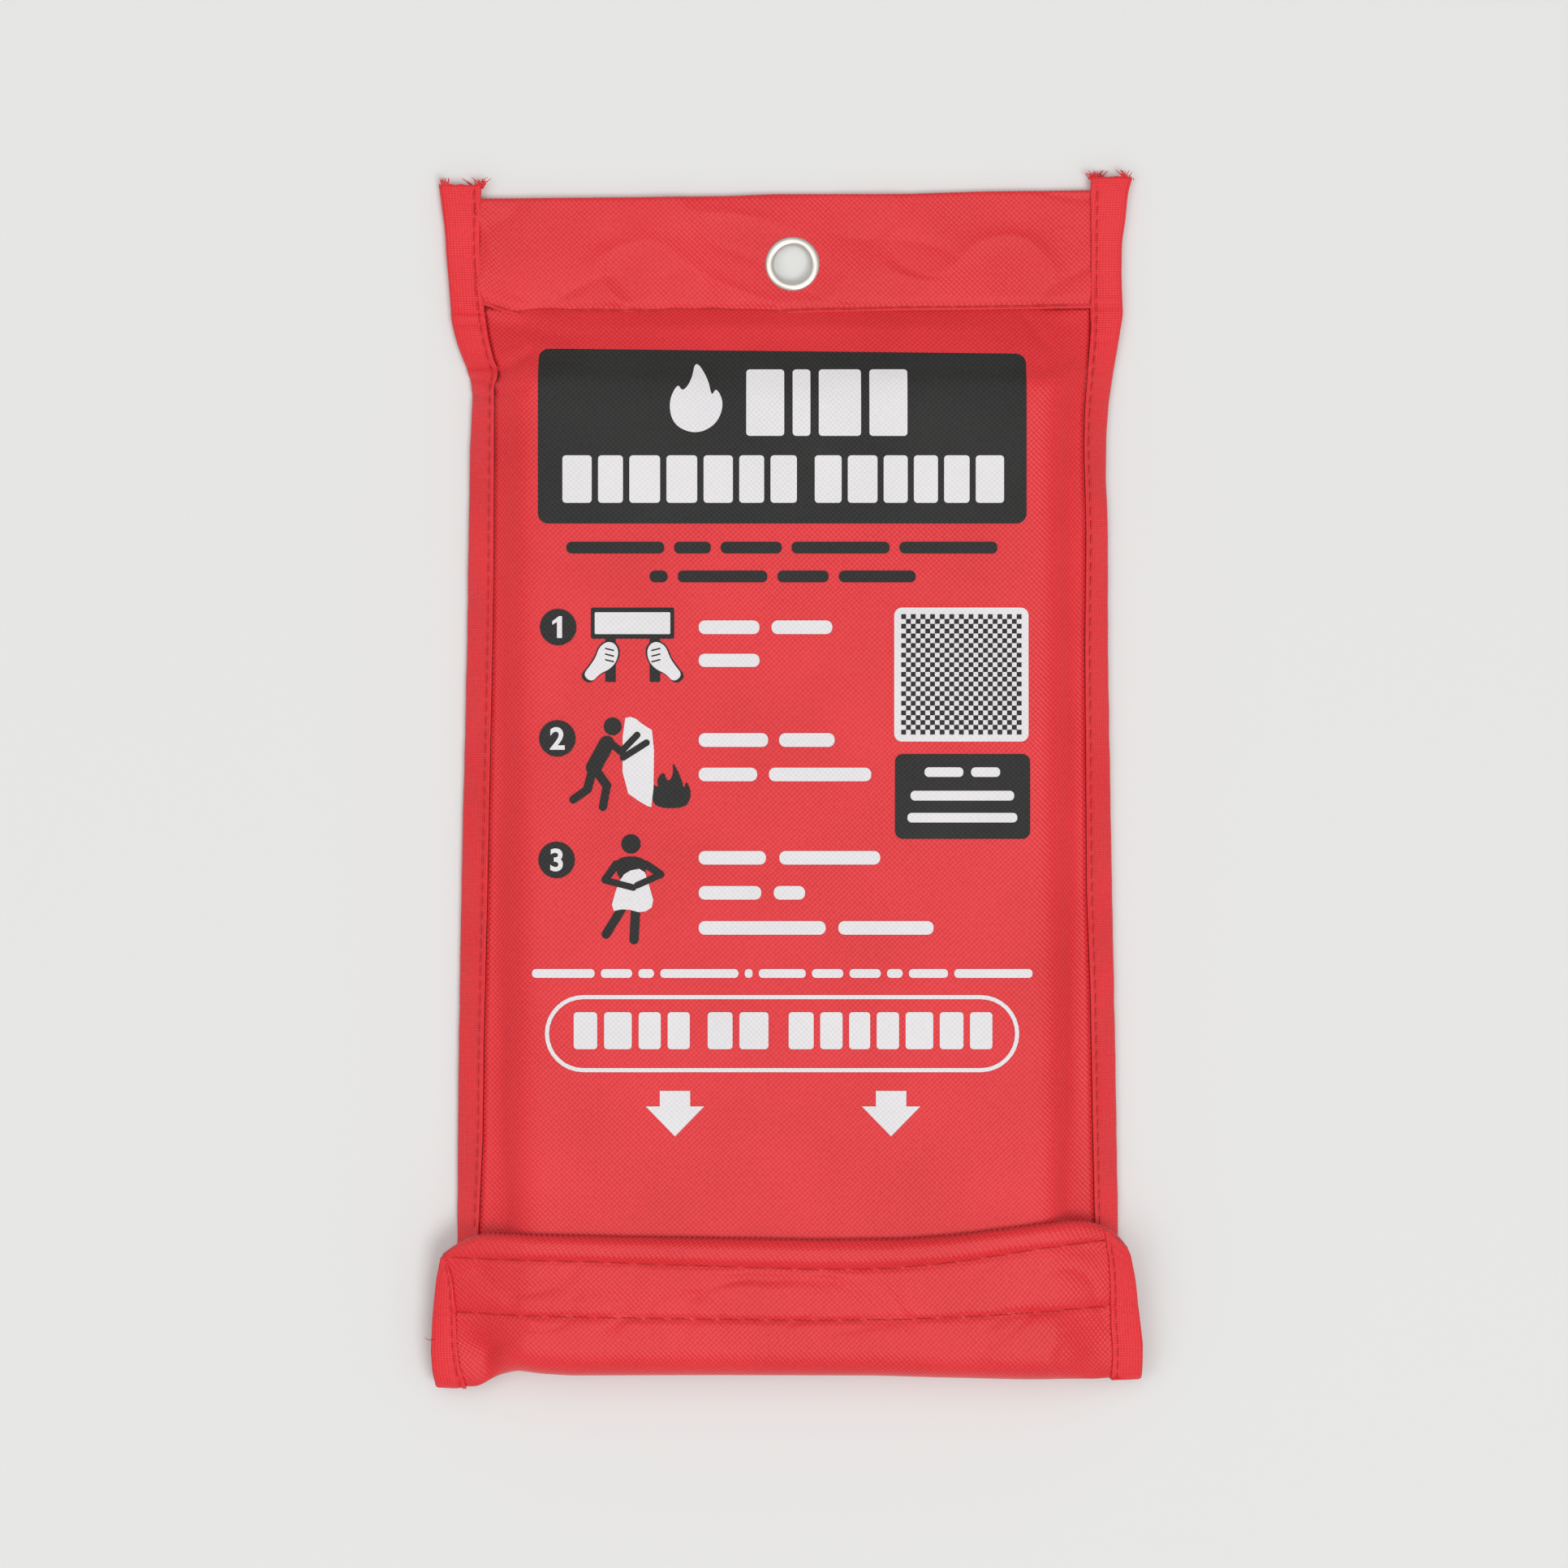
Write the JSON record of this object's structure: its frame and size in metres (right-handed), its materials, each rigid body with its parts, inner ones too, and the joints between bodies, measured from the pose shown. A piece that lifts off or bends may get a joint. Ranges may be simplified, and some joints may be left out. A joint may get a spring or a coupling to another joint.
{
  "type": "fire blanket in a hanging pouch",
  "caption": "Folded fire blanket in a red fabric wall pouch with a hanging eyelet, a hook-and-loop bottom flap and pull tabs.",
  "frame": {"origin": "centre of the footprint on the surface that the pouch lies on, at the level of the back cloth", "axes": "+Y along the pouch towards the hanging eyelet, +Z out of the printed front, +X to the right as the front is read"},
  "size_m": [0.1836, 0.3122, 0.0173],
  "materials": {
    "red_cloth": "coated plain-weave polyester, soft sheen",
    "red_tape": "woven binding tape, matt",
    "red_thread": "sewing thread",
    "hook_and_loop": "hook-and-loop tape",
    "nickel": "nickel-plated, polished",
    "glass_cloth": "woven glass cloth",
    "black_webbing": "ribbed webbing"
  },
  "bodies": {
    "pouch": {"back_panel": "red_cloth", "front_panel": "red_cloth", "header_facing": "red_cloth", "left_tape": "red_tape", "right_tape": "red_tape", "eyelet": "nickel", "eyelet_washer": "nickel", "loop_patch_left": "hook_and_loop", "loop_patch_centre": "hook_and_loop", "loop_patch_right": "hook_and_loop", "header_thread": "red_thread", "left_seam_thread": "red_thread", "right_seam_thread": "red_thread"},
    "bottom_fold": {"fold_strip": "red_cloth", "left_fold_tape": "red_tape", "right_fold_tape": "red_tape"},
    "flap": {"flap_panel": "red_cloth", "flap_hem": "red_cloth", "left_flap_tape": "red_tape", "right_flap_tape": "red_tape", "hook_strip": "hook_and_loop", "hem_thread": "red_thread", "hook_thread": "red_thread"},
    "blanket": {"folded_blanket": "glass_cloth", "left_tab_anchor": "black_webbing", "right_tab_anchor": "black_webbing"},
    "left_tab": {"left_pull_tab": "black_webbing"},
    "right_tab": {"right_pull_tab": "black_webbing"}
  },
  "joints": [
    {"name": "fold_open", "type": "hinge", "parent": "pouch", "child": "bottom_fold", "pos_m": [0, -0.1548, 0.0005], "axis": [1, 0, 0], "range_deg": [0, 90]},
    {"name": "flap_open", "type": "hinge", "parent": "bottom_fold", "child": "flap", "pos_m": [0, -0.1548, 0.0164], "axis": [1, 0, 0], "range_deg": [0, 90]},
    {"name": "blanket_pull", "type": "slide", "parent": "pouch", "child": "blanket", "axis": [0, -1, 0], "range_m": [0, 0.28], "deforming": ["fold_strip"]},
    {"name": "left_tab_turn", "type": "hinge", "parent": "blanket", "child": "left_tab", "pos_m": [-0.045, -0.1537, 0.0081], "axis": [1, 0, 0], "range_deg": [0, 162]},
    {"name": "right_tab_turn", "type": "hinge", "parent": "blanket", "child": "right_tab", "pos_m": [0.045, -0.1537, 0.0081], "axis": [1, 0, 0], "range_deg": [0, 162]}
  ],
  "couplings": [
    {"joint": "flap_open", "follows": "fold_open", "ratio": 1},
    {"joint": "left_tab_turn", "follows": "fold_open", "ratio": 1.8},
    {"joint": "right_tab_turn", "follows": "fold_open", "ratio": 1.8}
  ]
}
